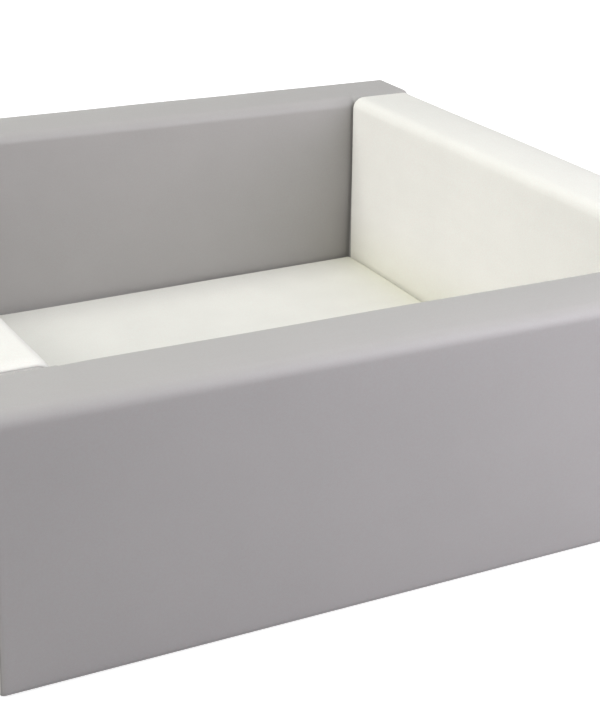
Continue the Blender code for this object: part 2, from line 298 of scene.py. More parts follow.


# Coated leatherette: a pebbled grain with painted shade between its pebbles, over slight ripples,
# paler and smoother on worn edges, darker in the seams and in the painted shade of corners and feet,
# darker and yellower in painted warm shade, with faint clouds of colour.
def makeLeatherette(name, colour, roughness, gloss):
    look = leatherLook
    material, tree, shader, place = startMaterial(name)
    wear, seam, warmShade = (pointValues(tree, values) for values in ("edgeWear", "seamDarkAndPaintedShade", "warmShade"))
    noises = ("fine", "ripples", "clouds", "speckle")
    fine, ripples, clouds, speckle = (noiseNode(tree, place, *look[noise]) for noise in noises)
    grid = {"Vector": place, "Scale": 1 / look["pebbleSize"], "Randomness": look["pebbleJitter"]}
    pebbles = addNode(tree, "ShaderNodeTexVoronoi", grid, feature="DISTANCE_TO_EDGE").outputs["Distance"]
    pebbles = mapRange(tree, pebbles, 0.0, look["pebbleEdge"])

    dark, light = (tinted(colour, share) for share in look["cloudTints"])
    base = mixColours(tree, mapRange(tree, clouds, *look["cloudSpread"]), dark, light)
    valley = mapRange(tree, pebbles, 0.0, 1.0, look["pebbleShade"], 1.0)
    base = mixColours(tree, 1.0, base, valley, "MULTIPLY")
    mottle = mixColours(tree, mapRange(tree, speckle, *look["speckleSpread"]), *look["speckleTints"])
    base = mixColours(tree, 1.0, base, mottle, "MULTIPLY")
    worn = mathNode(tree, "MULTIPLY", wear, look["wearShare"])
    base = mixColours(tree, worn, base, tinted(colour, look["wearTint"]))
    # darker in the seam grooves, and in the painted shade of the corners and feet
    groove = mathNode(tree, "MULTIPLY", seam, look["seamAndShadeShare"])
    base = mixColours(tree, groove, base, tinted(colour, look["seamAndShadeTint"]))
    # painted warm shade, darker and yellower low in the end walls' corners
    base = mixColours(tree, warmShade, base, tinted(colour, look["warmShadeTint"]))

    roughEnds = (roughness + change for change in look["cloudRough"])
    rough = mapRange(tree, clouds, *look["cloudGloss"], *roughEnds)
    rough = mathNode(tree, "SUBTRACT", rough, mathNode(tree, "MULTIPLY", wear, look["wearPolish"]))
    grain = mathNode(tree, "ADD", pebbles, mathNode(tree, "MULTIPLY", fine, look["fineHeight"]))
    normal = bumpNode(tree, grain, look["grainDepth"], look["grainStrength"])
    normal = bumpNode(tree, ripples, look["rippleDepth"], look["rippleStrength"], Normal=normal)
    linkShader(tree, shader, base, rough, normal)
    shader.inputs["Specular IOR Level"].default_value = gloss
    return material


foamLook = {
    "pores": (520.0, 1400.0),  # big and small ones, to the metre
    "bigRise": (0.1, 0.5),  # from a big pore's dark heart to its rim
    "smallRise": (0.05, 0.5),
    "smallHeart": 0.3,  # the share of the height that is left in the heart of a small pore
    "tintNoise": (9.0, 3.0),
    "tints": ((0.74, 0.67, 0.46, 1), (0.82, 0.76, 0.57, 1)),
    # painted shade down in the pores
    "heart": (0.40, 0.34, 0.20, 1),
    "roughness": (1.0, 0.88),  # in a pore's heart and on its rim
    "depth": 0.0006,
    "strength": 0.8,
}


# Open-cell foam: round pores of two sizes, with painted shade darkening their hearts.
def makeFoam():
    look = foamLook
    material, tree, shader, place = startMaterial("foam")
    big, small = (
        addNode(tree, "ShaderNodeTexVoronoi", {"Vector": place, "Scale": scale}).outputs["Distance"]
        for scale in look["pores"]
    )
    small = mapRange(tree, small, *look["smallRise"], look["smallHeart"], 1.0)
    pore = mathNode(tree, "MULTIPLY", mapRange(tree, big, *look["bigRise"]), small)
    body = mixColours(tree, noiseNode(tree, place, *look["tintNoise"]), *look["tints"])
    colour = mixColours(tree, pore, look["heart"], body)
    rough = mapRange(tree, pore, 0.0, 1.0, *look["roughness"])
    linkShader(tree, shader, colour, rough, bumpNode(tree, pore, look["depth"], look["strength"]))
    return material


clothLook = {
    "finishes": {
        # darker and lighter threads, metres from thread to thread, roughness, degrees of turn
        "grip_cloth": ((0.035, 0.035, 0.038, 1), (0.085, 0.085, 0.09, 1), 0.0009, 0.82, 0),
        "zip_cloth": ((0.05, 0.05, 0.055, 1), (0.13, 0.13, 0.14, 1), 0.0006, 0.78, 45),
        "hook_cloth": ((0.60, 0.60, 0.57, 1), (0.76, 0.76, 0.73, 1), 0.0008, 0.85, 0),
        "loop_cloth": ((0.22, 0.215, 0.21, 1), (0.36, 0.35, 0.34, 1), 0.0007, 0.92, 0),
    },
    "fuzz": (900.0, 3.0),  # waves to the metre and detail
    "fuzzSpread": (0.3, 0.7),
    "fuzzShade": 0.82,
    "fuzzRough": 0.06,
    "fuzzHeight": 0.4,
    "depth": 0.0002,
    "strength": 0.7,
    "sheen": 0.15,
}


# Plain weave: two sets of waves crossing at right angles, over and under in turn.
def weaveHeight(tree, place, pitch, turned):
    inputs = {"Vector": place, "Rotation": (0, 0, math.radians(turned))}
    turn = addNode(tree, "ShaderNodeMapping", inputs).outputs[0]
    parts = addNode(tree, "ShaderNodeSeparateXYZ", {"Vector": turn}).outputs
    waves = (mathNode(tree, "MULTIPLY", parts[axis], math.pi / pitch) for axis in range(3))
    x, y, z = (mathNode(tree, "SINE", wave, 0.0) for wave in waves)
    crossed = mathNode(tree, "MULTIPLY", x, mathNode(tree, "ADD", y, z))
    return mapRange(tree, crossed, -1.0, 1.0)


def makeCloth(name, dark, light, pitch, roughness, turned):
    look = clothLook
    material, tree, shader, place = startMaterial(name)
    weave = weaveHeight(tree, place, pitch, turned)
    fuzz = noiseNode(tree, place, *look["fuzz"])
    shade = mapRange(tree, fuzz, *look["fuzzSpread"], look["fuzzShade"], 1.0)
    colour = mixColours(tree, 1.0, mixColours(tree, weave, dark, light), shade, "MULTIPLY")
    change = look["fuzzRough"]
    rough = mapRange(tree, fuzz, *look["fuzzSpread"], roughness - change, roughness + change)
    height = mathNode(tree, "ADD", weave, mathNode(tree, "MULTIPLY", fuzz, look["fuzzHeight"]))
    linkShader(tree, shader, colour, rough, bumpNode(tree, height, look["depth"], look["strength"]))
    shader.inputs["Sheen Weight"].default_value = look["sheen"]
    return material


plasticLook = {
    "finishes": {
        # colour and roughness
        "grip_rubber": ((0.045, 0.045, 0.048), 0.62),
        "zip_nylon": ((0.035, 0.035, 0.038), 0.38),
        "hook_nylon": ((0.74, 0.74, 0.71), 0.45),
        "thread_grey": ((0.30, 0.29, 0.285), 0.6),
        "thread_cream": ((0.78, 0.77, 0.70), 0.6),
    },
    "flow": (260.0, 4.0),  # waves to the metre and detail
    "flowTints": (0.85, 1.1),
    "flowSpread": (0.3, 0.7),
    "flowRough": (-0.06, 0.08),
    "depth": 0.00008,
    "strength": 0.5,
}


# Moulded or drawn plastic: slight flow marks in the colour and the gloss.
def makePlastic(name, colour, roughness):
    look = plasticLook
    material, tree, shader, place = startMaterial(name)
    flow = noiseNode(tree, place, *look["flow"])
    dark, light = (tinted(colour, share) for share in look["flowTints"])
    roughEnds = (roughness + change for change in look["flowRough"])
    rough = mapRange(tree, flow, *look["flowSpread"], *roughEnds)
    normal = bumpNode(tree, flow, look["depth"], look["strength"])
    linkShader(tree, shader, mixColours(tree, flow, dark, light), rough, normal)
    return material


finishes = {"foam": makeFoam()}
for look, make in ((leatherLook, makeLeatherette), (clothLook, makeCloth), (plasticLook, makePlastic)):
    for name, values in look["finishes"].items():
        finishes[name] = make(name, *values)
print("materials made:", len(bpy.data.materials))


# Covers

wallForm = {
    "topRadius": 0.026,
    "baseRadius": 0.012,
    "endRadius": 0.008,
    "crown": 0.005,  # the middle of the top stands this far over its edges and ends
    "counts": (6, 3, 6, 72, 14, 10),  # steps: underside, hem, low rounding, side, high rounding, top
    "ringCount": 110,
    "roundCount": 20,
    "capCount": 8,
    "capReach": 1.0,  # how far the end's outline draws in: 1 closes it on a line
}
endWallForm = dict(wallForm, endRadius=0.0036)
matForm = {
    "topRadius": 0.009,
    "baseRadius": 0.006,
    "endRadius": 0.009,
    "crown": 0.003,
    "counts": (12, 3, 4, 5, 8, 60),
    "ringCount": 130,
    "roundCount": 20,
    "capCount": 2,
    "capReach": 0.4,
}
skinLook = {
    "thickness": 0.0012,
    "hemWidth": 0.012,
    "openHeight": 0.002,  # the underside is open inside the hem, up to here
    "beside": 0.151,  # where an end wall begins, from the end of a long wall
    "besideSteps": (-0.006, -0.002, 0, 0.002, 0.005, 0.009, 0.014, 0.020, 0.028, 0.038, 0.050),
    "seed": 11,  # of the first block's unevenness, and the next block has the next one
}


def formOf(block):
    if not block["isWall"]:
        return matForm
    return wallForm if block["isLong"] else endWallForm


endLook = {
    "crownFade": 3,  # the power of the way out with which the crown fades to nothing
    # round an end, as shares of what the sides draw in there
    "footRise": 0.35,  # the underside rises by this
    "topTighten": 0.6,  # the upper roundings get smaller
    "footTighten": 0.3,  # and the lower ones
}
slopeTries = 6  # rounds that bring the end of the upper arc to the slope of the top


# Half of a block's outline across its length, from the middle of the underside to the middle of the
# top: flat underside and hem, quarter arc, straight side, an arc that ends on the slope of the top,
# and a parabola over the top. Each argument is a column with one row for each ring, apart from the
# places of the underside's points, which are shares of the way out to the hem.
def halfOutline(half, base, top, topRadius, baseRadius, crown, hem, counts, underShares):
    slope = np.zeros_like(half)
    for attempt in range(slopeTries):  # the arc has to meet the parabola at its own slope
        flat = half - topRadius * (1 - np.sin(slope))
        slope = np.arctan2(2 * crown, flat)
    hemRun, low, side, high, over = (np.arange(n)[None, :] / n for n in counts[1:])
    under = underShares[None, :]
    lowAngle = (low - 1) * math.pi / 2
    highAngle = high * (math.pi / 2 - slope)
    share = 1 - np.append(over, [[1.0]], axis=1)
    highCentre = top - crown - topRadius * np.cos(slope)
    none = np.zeros_like(half)
    across = [
        (half - hem) * under,
        half - hem + (hem - baseRadius) * hemRun,
        half - baseRadius + baseRadius * np.cos(lowAngle),
        half + none * side,
        half - topRadius + topRadius * np.cos(highAngle),
        flat * share,
    ]
    up = [
        base + none * under,
        base + none * hemRun,
        base + baseRadius + baseRadius * np.sin(lowAngle),
        base + baseRadius + (highCentre - base - baseRadius) * side,
        highCentre + topRadius * np.sin(highAngle),
        top - crown * share**2,
    ]
    facing = [
        -math.pi / 2 + none * under,
        -math.pi / 2 + none * hemRun,
        none + lowAngle,
        none * side,
        highAngle,
        math.pi / 2 - np.arctan2(2 * crown * share, flat),
    ]
    return [np.concatenate(part, axis=1) for part in (across, up, facing)]


# A block's whole surface as a grid of rings and points. The rings run from the middle of one end
# face, out over it, round the end's quarter arc, along the block and back over the other end.
# Returns places, outward directions and the tilt of each ring. inset is how far it lies inside the
# block's outer surface, body holds the places of the rings along the block, and underShares may give
# places of their own to the underside's points.
def blockSurface(block, form, inset, base, hem, body, underShares=None):
    length, width, height, counts = block["length"], block["width"], block["height"], form["counts"]
    rounding = form["endRadius"] - inset
    halfLength = length / 2 - form["endRadius"]
    tilt = np.linspace(0, math.pi / 2, form["roundCount"] + 1)
    if underShares is None:
        underShares = np.arange(counts[0]) / counts[0]
    capShare = np.linspace(0, form["capReach"], form["capCount"] + 1)[1:]
    along = np.concatenate(
        [
            np.full(len(capShare), -halfLength - rounding),
            -halfLength - rounding * np.sin(tilt[:0:-1]),
            body,
            halfLength + rounding * np.sin(tilt[1:]),
            np.full(len(capShare), halfLength + rounding),
        ]
    )[:, None]
    end = np.full(len(capShare), math.pi / 2)
    tilts = np.concatenate([-end, -tilt[:0:-1], 0 * body, tilt[1:], end])[:, None]
    closing = np.concatenate([capShare[::-1], 0 * tilt[1:], 0 * body, 0 * tilt[1:], capShare])[:, None]

    shrink = rounding * (1 - np.cos(tilts))
    crown = form["crown"] * (1 - np.abs(2 * along / length) ** endLook["crownFade"])
    half = width / 2 - inset - shrink
    bottom = base + endLook["footRise"] * shrink
    top = height - inset - form["crown"] + crown - shrink
    across, up, facing = halfOutline(
        half,
        bottom,
        top,
        form["topRadius"] - inset - endLook["topTighten"] * shrink,
        form["baseRadius"] - inset - endLook["footTighten"] * shrink,
        np.maximum(crown, 0),
        hem - inset + 0 * shrink,
        counts,
        underShares,
    )
    across = np.concatenate([across, -across[:, -2:0:-1]], axis=1)
    up = np.concatenate([up, up[:, -2:0:-1]], axis=1)
    facing = np.concatenate([facing, math.pi - facing[:, -2:0:-1]], axis=1)

    # Over an end face the outline draws in to a line, or part of the way
    reach = min(width, height) / 2
    middle = (top + bottom) / 2
    across = across * (1 - closing * reach / (width / 2))
    up = middle + (up - middle) * (1 - closing * reach / (height / 2))
    points = np.stack([along + 0 * across, across, up], axis=-1)
    outward = np.stack(
        [
            np.sin(tilts) + 0 * across,
            np.cos(tilts) * np.cos(facing),
            np.cos(tilts) * np.sin(facing),
        ],
        axis=-1,
    )
    return points, outward, tilts


# Slow waves: a sum of sines, each along its own direction.
def slowWaves(points, lengths, seed):
    random = np.random.default_rng(seed)
    total = np.zeros(points.shape[:-1])
    for length in lengths:
        direction = random.normal(size=3)
        direction /= np.linalg.norm(direction)
        total += np.sin(2 * math.pi * (points @ direction) / length + random.uniform(0, 2 * math.pi))
    return total / len(lengths)


reliefLook = {
    "waveDepth": 0.0007,  # slow unevenness of the faces
    "waveLengths": (0.17, 0.23, 0.31, 0.44),
    "downFacing": (0.0, 0.7),  # it fades over faces that turn down as far as this
    "endFacing": (0.3, 0.9),  # and on the end walls over faces that turn to the end
    "endBulge": 0.0016,  # how far a free end face swells
    "bulgePower": 4,  # how flat the swelling is from foot to top
    "bulgeFacing": (0.8, 1.0),
    "tuckDepth": 0.0022,  # the walls' inner sides tuck in along the top of the mat
    "tuckPlace": 0.046,
    "tuckWidth": 0.015,
    "quietEnd": 0.14,  # a long wall's inner face is flat this far in, where an end wall stands on it
    "quietFade": 0.06,
    "pressDepth": 0.0042,  # beside the end wall its foam is pressed in
    "pressWidth": 0.075,
    "pressStart": 0.006,  # it begins this far behind the end wall
    "pressEdge": 0.07,  # and is deepest after this share of its width
    "matWaves": 0.4,  # the mat's share of the walls' unevenness
    "matTwist": 0.0080,  # the mat stands higher in one corner and lower in the next
    "twistShift": 0.2,  # how far from its middle it turns over, as a share of half its length
    "twistReach": 0.55,  # it grows from the middle line to here, towards the back wall
    "upFacing": (0.5, 0.95),  # only the mat's top has relief
}


# How far the foam and the skin over it stand out from the plain form: slow waves, both ways on free
# faces and only inwards on a face that meets a neighbour, and a slight swelling of the free end faces.
def slowRelief(block, points, outward, seed):
    look = reliefLook
    across, up = points[..., 1], points[..., 2]
    fromEnd = block["length"] / 2 - np.abs(points[..., 0])
    facingEnd = np.abs(outward[..., 0])
    offFloor = 1 - smoothStep(-outward[..., 2], *look["downFacing"])
    waves = slowWaves(points, look["waveLengths"], seed) * look["waveDepth"]
    if not block["isWall"]:
        twist = 2 * points[..., 0] / block["length"] + look["twistShift"]
        twist = look["matTwist"] * (twist * smoothStep(across, 0.0, look["twistReach"]))
        onTop = smoothStep(outward[..., 2], *look["upFacing"])
        return (waves * look["matWaves"] + twist) * onTop * offFloor

    touching = np.clip(outward[..., 1], 0, 1)
    tuck = look["tuckDepth"] * np.exp(-(((up - look["tuckPlace"]) / look["tuckWidth"]) ** 2))
    inwards = np.minimum(waves - look["waveDepth"], 0) - tuck
    if not block["isLong"]:
        relief = waves * (1 - touching) + inwards * touching
        return relief * (1 - smoothStep(facingEnd, *look["endFacing"])) * offFloor

    inwards = inwards * smoothStep(fromEnd, look["quietEnd"], look["quietEnd"] + look["quietFade"])
    beside = np.clip((fromEnd - skinLook["beside"] + look["pressStart"]) / look["pressWidth"], 0, 1)
    inwards = inwards - look["pressDepth"] * smoothStep(beside, 0, look["pressEdge"]) * (1 - beside) ** 2
    relief = (waves * (1 - touching) + inwards * touching) * offFloor
    rise = np.clip(1 - (2 * across / block["width"]) ** 2, 0, 1)
    rise = rise * np.clip(1 - (2 * up / block["height"] - 1) ** look["bulgePower"], 0, 1)
    return relief + look["endBulge"] * rise * smoothStep(facingEnd, *look["bulgeFacing"])


# Painted shade: a long wall darkens beside an end wall, most of all low down, and each wall has a painted
# contact shadow along its foot
shadeLook = {
    "footShade": 0.36,  # the share of its colour that a wall loses at its foot
    "footReach": 0.006,
    "lowHeights": (0.05, 0.40),  # the corners' shade is whole up to here, and least from there on
    "narrowShade": 0.42,  # what a long wall loses right beside an end wall
    "narrowHigh": 0.3,  # the share of it that is left high up
    "narrowReach": 0.014,
    "wideShade": 0.20,  # and further out, low down only
    "wideReach": 0.060,
    "besideEase": 0.004,  # it stops this far behind the end wall's face
    "most": 1.5,  # of groove and shade together
}


# The share of its colour that a wall's skin loses to painted shade in the corners of the pit, more of it
# low down, and to a painted contact shadow along its foot.
def cornerShade(block, points, outward):
    look = shadeLook
    up = points[..., 2]
    foot = look["footShade"] * np.exp(-((up / look["footReach"]) ** 2))
    if not block["isLong"]:
        return foot * block["isWall"]
    beside = block["length"] / 2 - np.abs(points[..., 0]) - skinLook["beside"]
    low = 1 - smoothStep(up, *look["lowHeights"])
    narrow = look["narrowHigh"] + (1 - look["narrowHigh"]) * low
    narrow = look["narrowShade"] * narrow * np.exp(-np.abs(beside) / look["narrowReach"])
    wide = look["wideShade"] * low**2 * np.exp(-np.abs(beside) / look["wideReach"])
    inside = np.clip(outward[..., 1], 0, 1) * smoothStep(beside, -look["besideEase"], 0.0)
    return foot + (narrow + wide) * inside


# Painted warm shade in the end walls' corners, as a share of the colour
warmShadeLook = {
    "wallWarmShade": 0.185,
    "wallHeights": (0.04, 0.20),  # all of it up to here, and none from there on
    "matWarmShade": 0.31,
    "matReach": 0.060,
}


# Painted warm shade, darker and yellowish like light thrown back off the cream, low down on the inner sides
# of the end walls and on the mat beside them.
def cornerWarmShade(block, points, outward):
    look = warmShadeLook
    if block["isLong"]:
        return 0 * points[..., 0]
    if block["isWall"]:
        low = 1 - smoothStep(points[..., 2], *look["wallHeights"])
        return look["wallWarmShade"] * low * np.clip(outward[..., 1], 0, 1)
    fromEnd = block["length"] / 2 - np.abs(points[..., 0])
    return look["matWarmShade"] * np.exp(-fromEnd / look["matReach"]) * np.clip(outward[..., 2], 0, 1)


# A long wall has more rings where an end wall begins.
def ringPlaces(block, even):
    if not block["isLong"]:
        return even
    extra = block["length"] / 2 - skinLook["beside"] - np.array(skinLook["besideSteps"])
    return np.sort(np.concatenate([even, extra, -extra]))


settleLook = {
    "leanFoot": 0.05,  # a lean begins at this height
    "leanLess": 0.06,  # and its run upwards is the wall's height less this
    "leanAcross": (-0.02, 0.05),  # from here, across the wall, to its inner side
    "slumpReach": 0.020,  # from the front end
    "slumpPower": 1.5,
    "slumpRise": (0.7, 0.97),  # shares of the lean's run
}


# The inner side of a leaning wall: nothing at the foot and all of it at the top. A wall that slumps
# has a top that slopes down over the last few millimetres before its front end.
def settle(block, points):
    look = settleLook
    height = np.clip((points[..., 2] - look["leanFoot"]) / (block["height"] - look["leanLess"]), 0, 1)
    points[..., 1] += block["lean"] * height * smoothStep(points[..., 1], *look["leanAcross"])
    nearEnd = np.clip((points[..., 0] - block["length"] / 2) / look["slumpReach"] + 1, 0, 1)
    slump = block["slump"] * nearEnd ** look["slumpPower"]
    points[..., 2] -= slump * smoothStep(height, *look["slumpRise"])


seamLook = {
    # the end seam, as a share of the way round the end's rounding, on long blocks and on end walls
    "place": {True: 0.55, False: 0.85},
    "width": 0.0007,
    "sink": 0.0008,
    "lipPlace": 1.9,  # from the seam, in widths of it
    "lipWidth": 0.0016,
    "lipRise": 0.00022,
    "puckerDepth": 0.00028,  # small gathers at right angles to the end seam
    "puckerReach": 0.011,
    "puckerLengths": (0.0125, 0.0180, 0.0290),
    "puckerFacing": (0.985, 0.9999),  # they fade over the flat of the end
    "puckerSeed": 50,  # added to the block's own
    "swellLength": 0.21,  # the gathers come and go over this length
    "swellShare": 0.4,
    "allowance": 0.0145,  # the seam allowance inside shows as a faint ridge, this far from the end
    "allowanceRise": 0.00022,
    "allowanceEdge": 0.0012,
    "allowanceFacing": (0.2, 0.8),
    "matSeam": 0.6,  # the mat's shares of a wall's seam and gathers
    "matPucker": 0.5,
    "downFacing": (0.3, 0.9),
    "flatFacing": 0.7,  # from here on nothing stands out of an end that meets a neighbour
}


# The seam round each end: a groove between two lips, small gathers across it that fade away from it,
# and the faint ridge of the seam allowance inside. Returns the relief and the groove alone.
def seamRelief(block, points, outward, tilts, form, seed):
    look = seamLook
    radius = form["endRadius"]
    facingEnd = np.abs(outward[..., 0])
    fromEnd = block["length"] / 2 - np.abs(points[..., 0])
    fromStart = np.where(np.abs(tilts) > 0, np.abs(tilts) * radius, radius - fromEnd)
    fromSeam = fromStart - look["place"][block["isLong"]] * (math.pi / 2 * radius)
    groove = np.exp(-((fromSeam / look["width"]) ** 2))
    lips = np.exp(-(((np.abs(fromSeam) - look["lipPlace"] * look["width"]) / look["lipWidth"]) ** 2))
    seams = -look["sink"] * groove + look["lipRise"] * lips

    steps = np.linalg.norm(np.diff(points, axis=1, prepend=points[:, :1]), axis=-1)
    outline = np.cumsum(steps, axis=1)[len(points) // 2]
    random = np.random.default_rng(seed + look["puckerSeed"])
    starts = random.uniform(0, 2 * math.pi, len(look["puckerLengths"]))
    gathers = sum(
        np.sin(2 * math.pi * outline / length + start)
        for length, start in zip(look["puckerLengths"], starts)
    )
    swell = np.sin(2 * math.pi * outline / look["swellLength"] + random.uniform(0, 2 * math.pi))
    swell = (1 - look["swellShare"]) + look["swellShare"] * swell
    fade = np.exp(-((fromSeam / look["puckerReach"]) ** 2))
    fade = fade * (1 - smoothStep(facingEnd, *look["puckerFacing"]))
    puckers = look["puckerDepth"] * gathers / len(look["puckerLengths"]) * swell * fade
    edge = look["allowanceEdge"]
    ridge = 1 - smoothStep(fromEnd, look["allowance"] - edge, look["allowance"] + edge)
    ridge = look["allowanceRise"] * ridge * (1 - smoothStep(facingEnd, *look["allowanceFacing"]))
    if not block["isWall"]:
        seams, puckers = look["matSeam"] * seams, look["matPucker"] * puckers
    detail = (seams + puckers + ridge) * (1 - smoothStep(-outward[..., 2], *look["downFacing"]))
    if not block["isLong"]:
        detail = np.where(facingEnd > look["flatFacing"], np.minimum(detail, 0), detail)
    return detail, groove


def makeCover(block, seed):
    look = skinLook
    form = formOf(block)
    hem = form["baseRadius"] + look["hemWidth"]
    turns = np.linspace(-math.pi / 2, math.pi / 2, form["ringCount"] + 1)
    places = ringPlaces(block, (block["length"] / 2 - form["endRadius"]) * np.sin(turns))
    points, outward, tilts = blockSurface(block, form, 0.0, 0.0, hem, places)
    seams, groove = seamRelief(block, points, outward, tilts, form, seed)
    relief = slowRelief(block, points, outward, seed) + seams
    # painted shade in the corners and along the feet, stored with the seams' darkening
    shade = cornerShade(block, points, outward)
    shade = shade / (1 - leatherLook["seamAndShadeTint"]) / leatherLook["seamAndShadeShare"]
    # painted warm shade low in the end walls' corners and on the mat beside them
    warmShade = cornerWarmShade(block, points, outward)
    facingEnd = outward[..., 0] ** 2
    wear = 4 * (outward[..., 1] * outward[..., 2]) ** 2 + 4 * facingEnd * (1 - facingEnd)
    points = points + relief[..., None] * outward
    points[..., 2] = np.maximum(points[..., 2], 0)
    settle(block, points)

    # The underside is open inside the hem, for the base panel
    rings, count = points.shape[:2]
    quads = gridQuads(rings, count, ring=True)
    centres = points.reshape(-1, 3)[quads].mean(axis=1)
    openLength = block["length"] / 2 - form["endRadius"] - look["hemWidth"]
    openWidth = block["width"] / 2 - hem
    isOpen = (np.abs(centres[:, 0]) < openLength) & (np.abs(centres[:, 1]) < openWidth)
    isOpen &= centres[:, 2] < look["openHeight"]
    faces = quads[~isOpen].tolist()
    if not block["isWall"]:
        faces += endFaces(rings, count)
    finish = block["finish"]
    piece = makeBlockPiece(block, "skin", points, faces, finish, "cover", sharp=70)
    setPointValues(piece.data, "edgeWear", np.clip(wear, 0, 1))
    setPointValues(piece.data, "seamDarkAndPaintedShade", np.clip(groove + shade, 0, shadeLook["most"]))
    setPointValues(piece.data, "warmShade", warmShade)
    closeMesh(piece.data)
    skin = piece.modifiers.new("skin", "SOLIDIFY")
    skin.thickness = look["thickness"]
    skin.offset = -1


for number, block in enumerate(blocks.values()):
    makeCover(block, skinLook["seed"] + number)
print("covers made")


# Foam cores

coreLook = {
    "gap": 0.0003,  # from the skin's inner side
    "edgeEase": 0.0013,  # the foam's cut end edges are this much softer than the skin's
    "clearance": 0.0010,  # round the zip, which presses a channel into the foam
    "channelEdge": 0.0010,  # the channel's walls lean out by this much
    "underFacing": 0.99,  # only points that face straight down are raised
    "wallSteps": {"counts": (7, 1, 3, 14, 6, 6), "roundCount": 5, "capCount": 4},
    "matSteps": {"counts": (7, 1, 2, 2, 3, 14), "roundCount": 5, "capCount": 1},
    "hemSteps": 4,  # from the channel to the hem
    "runSteps": 40,  # along the channel
    "endSteps": 6,  # and from its ends to the block's
}


# The block's form again, inside its skin, with the same slow waves. Along the zip its underside is
# raised over the slider's height, with slightly leaning walls.
def makeCore(block, seed):
    look = coreLook
    form = formOf(block)
    form = dict(form, **look["wallSteps" if block["isWall"] else "matSteps"])
    inset = skinLook["thickness"] + look["gap"]
    base = localBox(block, "foam_core")[0][2]
    tape = localBox(block, "zip_tape_inner")
    slider = localBox(block, "zip_slider")
    channelHalf = np.abs(tape[:, 1]).max() + look["clearance"]
    channelRun = tape[1][0] + look["clearance"]
    channelTop = slider[1][2] + look["clearance"]
    edge = look["channelEdge"]

    hem = form["baseRadius"] + skinLook["hemWidth"]
    out = block["width"] / 2 - hem
    underShares = np.array([0, channelHalf / 2, channelHalf, channelHalf + edge]) / out
    underShares = np.append(underShares, np.linspace(underShares[-1], 1, look["hemSteps"])[1:-1])
    form["counts"] = (len(underShares), *form["counts"][1:])
    halfLength = block["length"] / 2 - form["endRadius"]
    outer = np.linspace(channelRun + edge, halfLength, look["endSteps"])
    run = np.linspace(-channelRun, channelRun, look["runSteps"] + 1)
    places = ringPlaces(block, np.concatenate([-outer[::-1], run, outer]))
    points, outward, tilts = blockSurface(block, form, inset, base, hem, places, underShares)

    relief = slowRelief(block, points, outward, seed)
    relief = relief - look["edgeEase"] * np.sin(2 * np.abs(tilts)) ** 2
    points = points + relief[..., None] * outward
    settle(block, points)
    nearLine = np.clip((channelHalf + edge - np.abs(points[..., 1])) / edge, 0, 1)
    nearRun = np.clip((channelRun + edge - np.abs(points[..., 0])) / edge, 0, 1)
    isUnder = outward[..., 2] < -look["underFacing"]
    raised = (channelTop - base) * nearLine * nearRun * isUnder
    points[..., 2] = np.maximum(points[..., 2], base) + raised

    rings, count = points.shape[:2]
    faces = gridQuads(rings, count, ring=True).tolist()
    if form["capReach"] < 1:
        faces += endFaces(rings, count)
    piece = makeBlockPiece(block, "foam", points, faces, "foam", "foam_core")
    closeMesh(piece.data)


for number, block in enumerate(blocks.values()):
    makeCore(block, skinLook["seed"] + number)
print("foam cores made")


# Non-slip base panels, with rubber dots under them

panelLook = {
    "lift": 0.0004,  # the rubber dots hold the cloth this far off the floor
    "thickness": 0.0012,
    "cell": 0.016,  # size of the cloth's mesh cells
    "slotClearance": 0.0006,  # at each side of the slider
    "tapeTail": 0.012,  # the zip's tapes run this far past the slot
    "dotPitch": 0.0160,
    "dotRadius": 0.0021,
    "dotMargin": 0.007,
    # a dot's rings: height in lifts of the panel, and share of its radius
    "dotRings": ((1.1, 1.0), (0.35, 0.92), (0.0, 0.62)),
    "stitchMargin": 0.0022,  # from the panel's edge to its row of stitches
    "slotMargin": 0.0017,
    "stitchPitch": 0.0040,
    "stitchLength": 0.0030,
    "threadRadius": 0.00022,
}


# The panel's outer half sizes and the slot's, from the frame.
def panelSizes(block):
    parts = ("base_panel", "zip_tape_inner", "zip_slider")
    panel, tape, slider = (localBox(block, part) for part in parts)
    slotLength = tape[1][0] - panelLook["tapeTail"]
    slotWidth = slider[1][1] + panelLook["slotClearance"]
    return panel[1][0], panel[1][1], slotLength, slotWidth


# Places from one edge of a strip to the other, even on each side of two inner edges.
def splitPlaces(half, inner, cell):
    outer = np.linspace(inner, half, max(2, math.ceil((half - inner) / cell) + 1))
    middle = np.linspace(-inner, inner, max(2, math.ceil(2 * inner / cell) + 1))
    return np.concatenate([-outer[::-1], middle[1:-1], outer])


# A flat woven cloth with a long slot, as a grid with the slot's cells left out.
def makePanel(block):
    look = panelLook
    halfLength, halfWidth, slotLength, slotWidth = panelSizes(block)
    x = splitPlaces(halfLength, slotLength, look["cell"])
    y = splitPlaces(halfWidth, slotWidth, look["cell"])
    grid = np.stack(np.meshgrid(x, y, indexing="ij"), axis=-1).reshape(-1, 2)
    points = np.column_stack([grid, np.full(len(grid), look["lift"])])
    faces = gridQuads(len(x), len(y))
    middles = points[faces].mean(axis=1)
    inSlot = (np.abs(middles[:, 0]) < slotLength) & (np.abs(middles[:, 1]) < slotWidth)
    faces = faces[~inSlot]
    piece = makeBlockPiece(block, "grip_panel", points, faces, "grip_cloth", "base_panel")
    closeMesh(piece.data)
    cloth = piece.modifiers.new("cloth", "SOLIDIFY")
    cloth.thickness = look["thickness"]
    cloth.offset = -1


